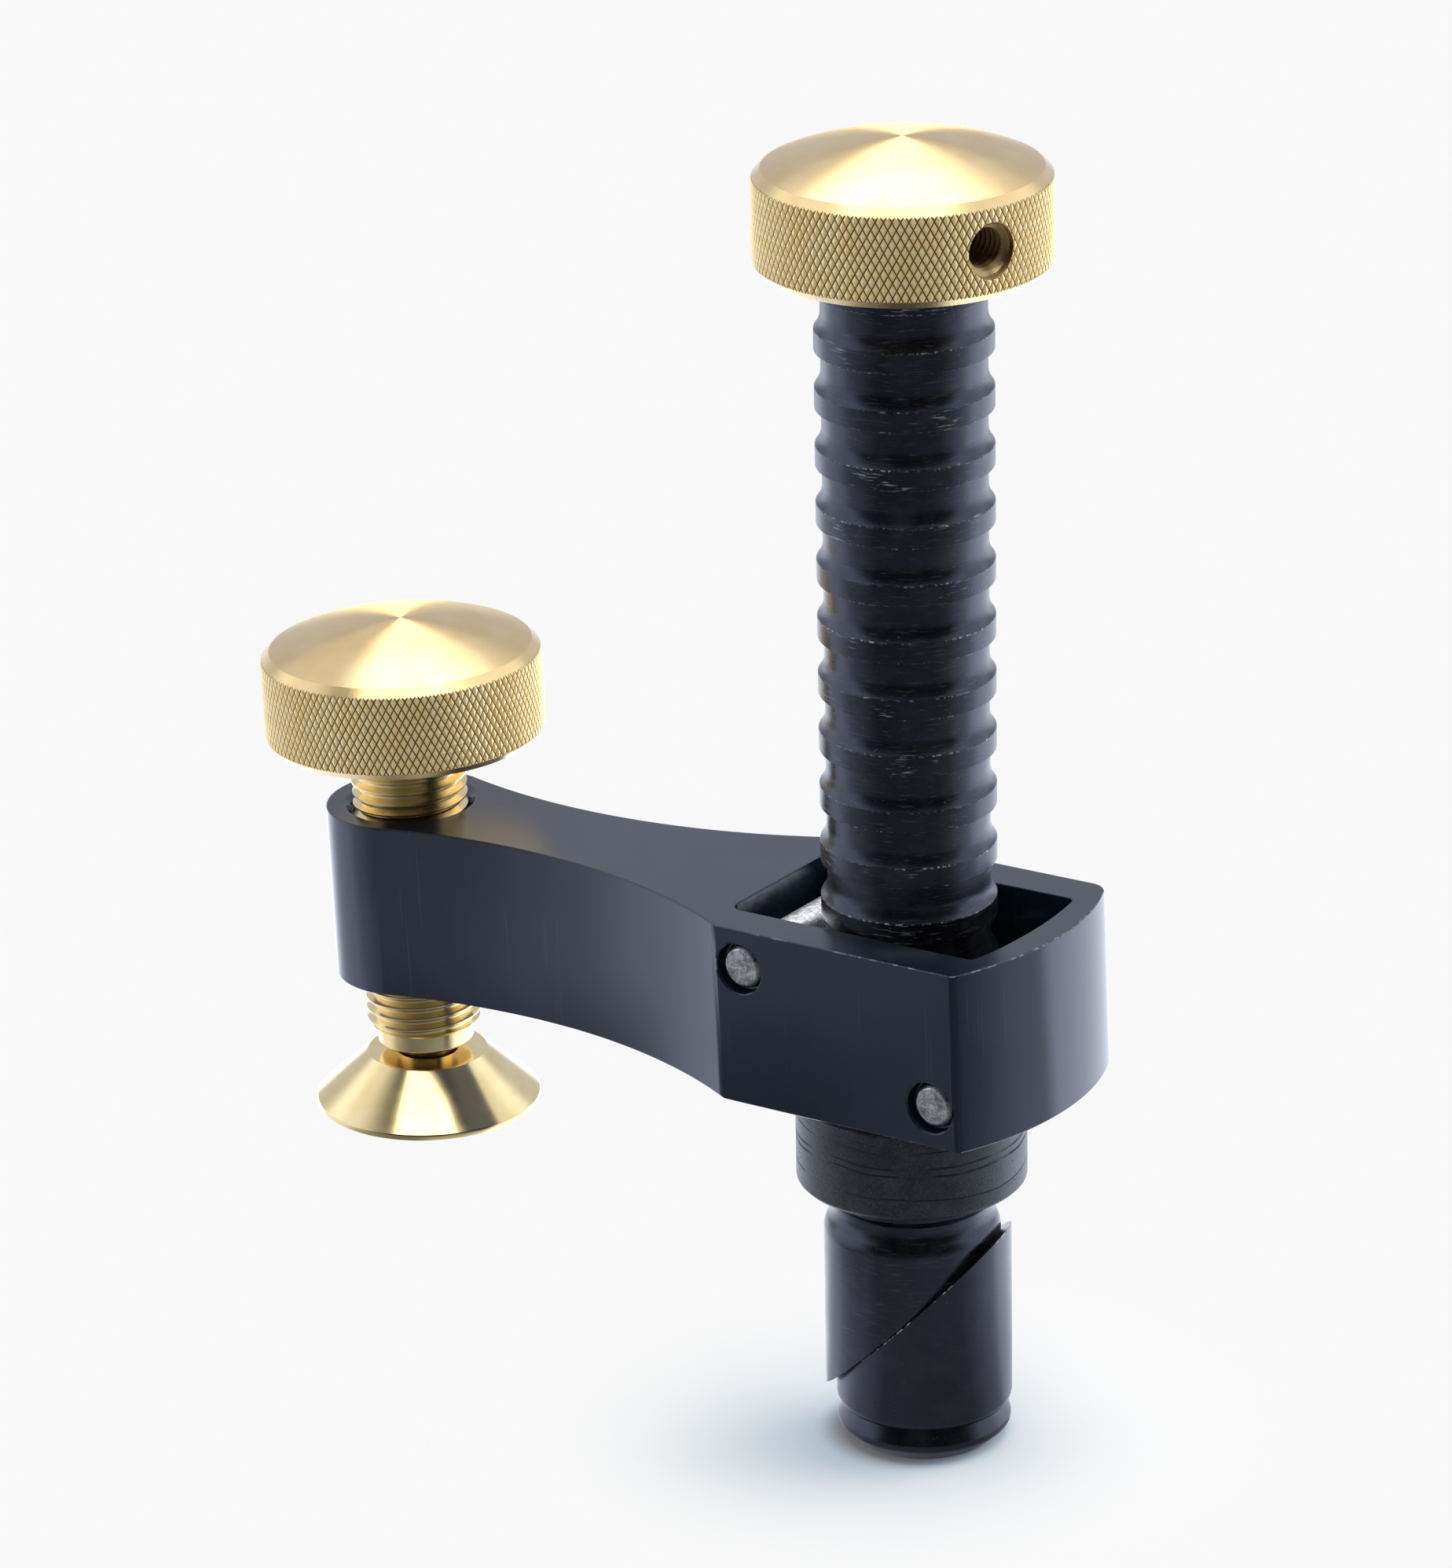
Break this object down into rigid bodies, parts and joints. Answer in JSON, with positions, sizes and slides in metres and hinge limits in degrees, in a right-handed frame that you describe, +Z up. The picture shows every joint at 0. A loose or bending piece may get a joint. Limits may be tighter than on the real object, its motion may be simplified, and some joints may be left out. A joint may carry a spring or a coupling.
{
  "type": "bench hold-down",
  "caption": "Bench hold-down for a dog hole: ringed post with a wedge-acting foot, sliding arm gripped by cross pins, brass clamping screw with a swivel pad, and knurled brass knobs.",
  "frame": {"origin": "on the post axis at the bench top, level with the collar's underside", "axes": "+Z up along the post, the arm reaches along -X, its flat face looks along -Y"},
  "size_m": [0.1014, 0.0308, 0.1447],
  "materials": {
    "black_steel": "black oxide, satin, lightly scratched",
    "dark_steel": "dark oxide, turned",
    "bright_steel": "ground",
    "black_aluminium": "black anodised, satin",
    "brass": "turned, bright"
  },
  "bodies": {
    "post": {"post": "black_steel"},
    "collar": {"collar": "dark_steel"},
    "carriage": {"upper_pin": "bright_steel"},
    "arm": {"arm": "black_aluminium", "lower_pin": "bright_steel"},
    "feed": {"pad_clip": "bright_steel"},
    "screw": {"clamp_screw": "brass", "clamp_knob": "brass", "clamp_set_screw": "bright_steel"},
    "pad": {"swivel_pad": "brass"},
    "knob": {"draw_rod": "bright_steel", "top_knob": "brass", "knob_set_screw": "bright_steel"},
    "nut": {"draw_nut": "bright_steel"},
    "wedge": {"wedge": "black_steel"}
  },
  "joints": [
    {"name": "arm_swing", "type": "hinge", "parent": "post", "child": "collar", "pos_m": [0, 0, 0], "axis": [0, 0, 1], "continuous": true},
    {"name": "arm_slide", "type": "slide", "parent": "collar", "child": "carriage", "axis": [0, 0, 1], "range_m": [0, 0.068]},
    {"name": "arm_tilt", "type": "hinge", "parent": "carriage", "child": "arm", "pos_m": [-0.01175, 0, 0.02619], "axis": [0, 1, 0], "range_deg": [0, 2]},
    {"name": "screw_feed", "type": "slide", "parent": "arm", "child": "feed", "axis": [0.0349, 0, -0.9994], "range_m": [-0.0079, 0.0071]},
    {"name": "screw_turn", "type": "hinge", "parent": "feed", "child": "screw", "pos_m": [-0.06506, 0, -0.00279], "axis": [0.0349, 0, -0.9994], "range_deg": [-2220, 2000]},
    {"name": "pad_tilt", "type": "hinge", "parent": "feed", "child": "pad", "pos_m": [-0.06506, 0, -0.00279], "axis": [0, 1, 0], "range_deg": [-10, 6]},
    {"name": "knob_turn", "type": "hinge", "parent": "post", "child": "knob", "pos_m": [0, 0, 0.1], "axis": [0, 0, 1], "range_deg": [-138, 333]},
    {"name": "nut_slide", "type": "slide", "parent": "post", "child": "nut", "axis": [0, 0, 1], "range_m": [-0.00119, 0.0005]},
    {"name": "wedge_slide", "type": "slide", "parent": "post", "child": "wedge", "axis": [0.683, 0.183, 0.7071], "range_m": [-0.00168, 0.0007]}
  ],
  "couplings": [
    {"joint": "screw_feed", "follows": "screw_turn", "m_per_rad": 0.00020213},
    {"joint": "nut_slide", "follows": "knob_turn", "m_per_rad": -0.00020213},
    {"joint": "wedge_slide", "follows": "knob_turn", "m_per_rad": -0.00028585}
  ]
}
